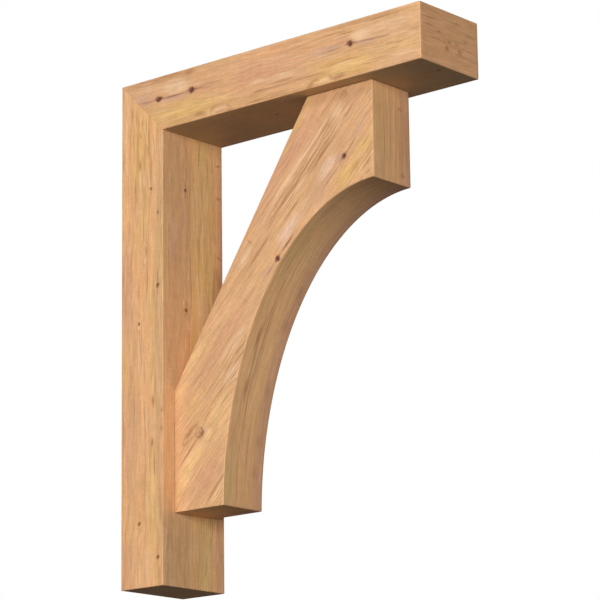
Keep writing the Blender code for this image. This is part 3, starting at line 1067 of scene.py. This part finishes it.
def timber(name, outline, width, materials, along, joints):
    """A prism with rounded edges and evenly divided faces.

    joints maps a side's number in the outline to how far its edges are rounded. 0 leaves them sharp.
    materials is the list of materials, and a rule that picks one of them by a face's middle and normal.
    """
    finishes, choose = materials
    shape = bmesh.new()
    weight = shape.edges.layers.float.new("bevel_weight_edge")
    near = [shape.verts.new((x, -width / 2, z)) for x, z in outline]
    far = [shape.verts.new((x, width / 2, z)) for x, z in outline]
    shape.faces.new(near)
    shape.faces.new(reversed(far))
    rounding_of = {}
    for side in range(len(outline)):
        after = (side + 1) % len(outline)
        face = shape.faces.new((near[side], far[side], far[after], near[after]))
        rounding_of[face] = joints.get(side, ROUNDING)
    bmesh.ops.recalc_face_normals(shape, faces=shape.faces)
    for edge in shape.edges:
        if edge.calc_face_angle(0.0) > SHARP_ANGLE:
            sizes = [rounding_of.get(face, ROUNDING) for face in edge.link_faces]
            size = 0.0 if 0.0 in sizes else max(sizes)
            edge[weight] = size / SEAT_ROUNDING
    mesh = bpy.data.meshes.new(name)
    shape.to_mesh(mesh)
    shape.free()
    piece = add_object(name, mesh)
    bevel = piece.modifiers.new("rounding", "BEVEL")
    bevel.limit_method = "WEIGHT"
    bevel.width = SEAT_ROUNDING
    bevel.segments = ROUNDING_STEPS
    graph = bpy.context.evaluated_depsgraph_get()
    rounded = bpy.data.meshes.new_from_object(piece.evaluated_get(graph))
    piece.modifiers.clear()

    shape = bmesh.new()
    shape.from_mesh(rounded)
    bpy.data.meshes.remove(rounded)
    slice_all(shape, along)
    for face in shape.faces:
        face.material_index = choose(face.calc_center_median(), face.normal)
    shape.to_mesh(mesh)
    shape.free()
    for finish in finishes:
        mesh.materials.append(finish)
    mesh.shade_smooth()
    mesh.set_sharp_from_angle(angle=CREASE_ANGLE)
    return piece


def slice_all(shape, along):
    """Divides the faces evenly by planes square to the grain, across it and across the timber."""
    across = along.cross(SIDEWAYS)
    for direction in (along, across, SIDEWAYS):
        reach = [v.co.dot(direction) for v in shape.verts]
        low, high = min(reach), max(reach)
        count = round((high - low) / SLICE)
        for step in range(1, count):
            at = low + (high - low) * step / count
            bmesh.ops.bisect_plane(
                shape,
                geom=shape.verts[:] + shape.edges[:] + shape.faces[:],
                plane_co=direction * at,
                plane_no=direction,
                dist=CUT_TOLERANCE,
            )


def hollow_edge():
    """Points of the brace's hollow lower edge, from the front of its foot up to its end face."""
    foot_dx = ELLIPSE_X - (POST_DEPTH + FOOT_DEPTH)
    end_dx = ELLIPSE_X - BRACE_END
    foot_dz = BRACE_FOOT - ELLIPSE_Z
    end_dz = BEAM_UNDERSIDE - END_FACE_HEIGHT - ELLIPSE_Z
    start = math.atan2(foot_dz / ELLIPSE_RZ, foot_dx / ELLIPSE_RX)
    finish = math.atan2(end_dz / ELLIPSE_RZ, end_dx / ELLIPSE_RX)
    points = []
    for step in range(HOLLOW_STEPS + 1):
        angle = start + (finish - start) * step / HOLLOW_STEPS
        points.append((ELLIPSE_X - ELLIPSE_RX * math.cos(angle), ELLIPSE_Z + ELLIPSE_RZ * math.sin(angle)))
    return points


def make_post():
    outline = [
        (0.0, FOOT),
        (POST_DEPTH, FOOT),
        (POST_DEPTH, BEAM_UNDERSIDE - MITRE_GAP),
        (0.0, TOP - MITRE_GAP),
    ]
    materials = [post_wood()], lambda middle, normal: 0
    return timber("post", outline, 2 * HALF_WIDTH, materials, UP, {2: 0.0})


def make_beam():
    outline = [
        (POST_DEPTH + MITRE_GAP, BEAM_UNDERSIDE),
        (REACH, BEAM_UNDERSIDE),
        (REACH, TOP),
        (MITRE_GAP, TOP),
    ]

    def choose(middle, normal):
        if normal.x > TURNED:
            return 1
        return 2 if normal.z < -TURNED else 0

    materials = [beam_wood(), beam_end_wood(), beam_under_wood_and_shade()], choose
    return timber("beam", outline, 2 * HALF_WIDTH, materials, OUT, {3: 0.0})


def make_brace():
    back = BRACE_LOW.x
    top = BRACE_HIGH.z
    outline = [(back, BRACE_FOOT)]
    outline += hollow_edge()
    outline += [(BRACE_END, top), (BRACE_END - BEAM_SEAT, top), (back, BRACE_FOOT + POST_SEAT)]
    joints = {len(outline) - 3: SEAT_ROUNDING, len(outline) - 1: SEAT_ROUNDING}
    for side in range(1, 1 + HOLLOW_STEPS):
        joints[side] = HOLLOW_ROUNDING

    def choose(middle, normal):
        return 0 if abs(normal.y) > HALF_TURNED else 1

    materials = [brace_wood(), brace_edge_wood()], choose
    return timber("brace", outline, 2 * BRACE_HALF_WIDTH, materials, DIAGONAL, joints)


def dress():
    for piece, node, slot in (
        (make_post(), "wall_post", "post_wood"),
        (make_beam(), "top_beam", "beam_wood"),
        (make_brace(), "curved_brace", "brace_wood"),
    ):
        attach(piece, "root")
        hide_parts(node)


def make_camera():
    data = bpy.data.cameras.new("camera")
    data.sensor_width = SENSOR_MM
    data.lens = FOCAL_PIXELS * SENSOR_MM / PICTURE_PIXELS
    data.clip_end = FAR_CLIP
    camera = add_object("camera", data)
    level = math.cos(CAMERA_ELEVATION)
    ahead = Vector((
        -math.sin(CAMERA_AZIMUTH) * level,
        math.cos(CAMERA_AZIMUTH) * level,
        -math.sin(CAMERA_ELEVATION),
    ))
    level_right = ahead.cross(UP).normalized()
    level_up = level_right.cross(ahead)
    right = level_right * math.cos(CAMERA_ROLL) + level_up * math.sin(CAMERA_ROLL)
    up = level_up * math.cos(CAMERA_ROLL) - level_right * math.sin(CAMERA_ROLL)
    turn = Matrix((right, up, -ahead)).transposed().to_4x4()
    camera.matrix_world = Matrix.Translation(CAMERA_PLACE) @ turn
    bpy.context.scene.camera = camera


def softbox(name, azimuth, elevation, power):
    """A round soft light. Azimuth 0 is on the -Y side and 90 on the +X side."""
    a = math.radians(azimuth)
    e = math.radians(elevation)
    direction = Vector((math.sin(a) * math.cos(e), -math.cos(a) * math.cos(e), math.sin(e)))
    data = bpy.data.lights.new(name, "AREA")
    data.shape = "DISK"
    data.size = LIGHT_SIZE
    data.energy = power
    light = add_object(name, data)
    light.location = Vector((REACH / 2, 0, 0)) + direction * LIGHT_DISTANCE
    light.rotation_mode = "QUATERNION"
    light.rotation_quaternion = direction.to_track_quat("Z", "Y")
    light.visible_camera = False


def make_world():
    """White behind the bracket, and a dim even glow to light it."""
    world = bpy.data.worlds.new("studio")
    world.use_nodes = True
    bpy.context.scene.world = world
    n = Nodes(world.node_tree)
    glow = world.node_tree.nodes["Background"]
    glow.inputs["Color"].default_value = (1, 1, 1, 1)
    glow.inputs["Strength"].default_value = GLOW_STRENGTH
    white = n.make("ShaderNodeBackground", {"Color": (1, 1, 1, 1), "Strength": 1.0})
    to_camera = n.make("ShaderNodeLightPath", {}, "Is Camera Ray")
    both = n.make("ShaderNodeMixShader", {0: to_camera, 1: glow.outputs[0], 2: white})
    n.surface(both)


def make_floor():
    """A pale floor far below, which shows only from above."""
    data = bpy.data.meshes.new("floor")
    depth = FOOT - FLOOR_DROP
    corners = [(x * FLOOR_HALF, y * FLOOR_HALF, depth) for x, y in ((-1, -1), (1, -1), (1, 1), (-1, 1))]
    data.from_pydata(corners, [], [(0, 1, 2, 3)])
    floor = add_object("floor", data)
    material = bpy.data.materials.new("floor")
    material.use_nodes = True
    n = Nodes(material.node_tree)
    shader = material.node_tree.nodes["Principled BSDF"]
    shader.inputs["Base Color"].default_value = FLOOR_COLOUR
    shader.inputs["Roughness"].default_value = FLOOR_ROUGHNESS
    clear = n.make("ShaderNodeBsdfTransparent", {})
    below = n.make("ShaderNodeNewGeometry", {}, "Backfacing")
    lit = n.make("ShaderNodeEmission", {"Color": FLOOR_COLOUR, "Strength": FLOOR_EMISSION})
    even = n.make("ShaderNodeMixShader", {0: FLOOR_EMISSION_SHARE, 1: shader.outputs[0], 2: lit})
    both = n.make("ShaderNodeMixShader", {0: below, 1: even, 2: clear})
    n.surface(both)
    data.materials.append(material)
    floor.visible_diffuse = False
    floor.visible_glossy = False
    floor.visible_shadow = False


make_camera()
make_world()
for light in LIGHTS:
    softbox(*light)
make_floor()
dress()
bpy.context.scene.view_settings.view_transform = "Standard"
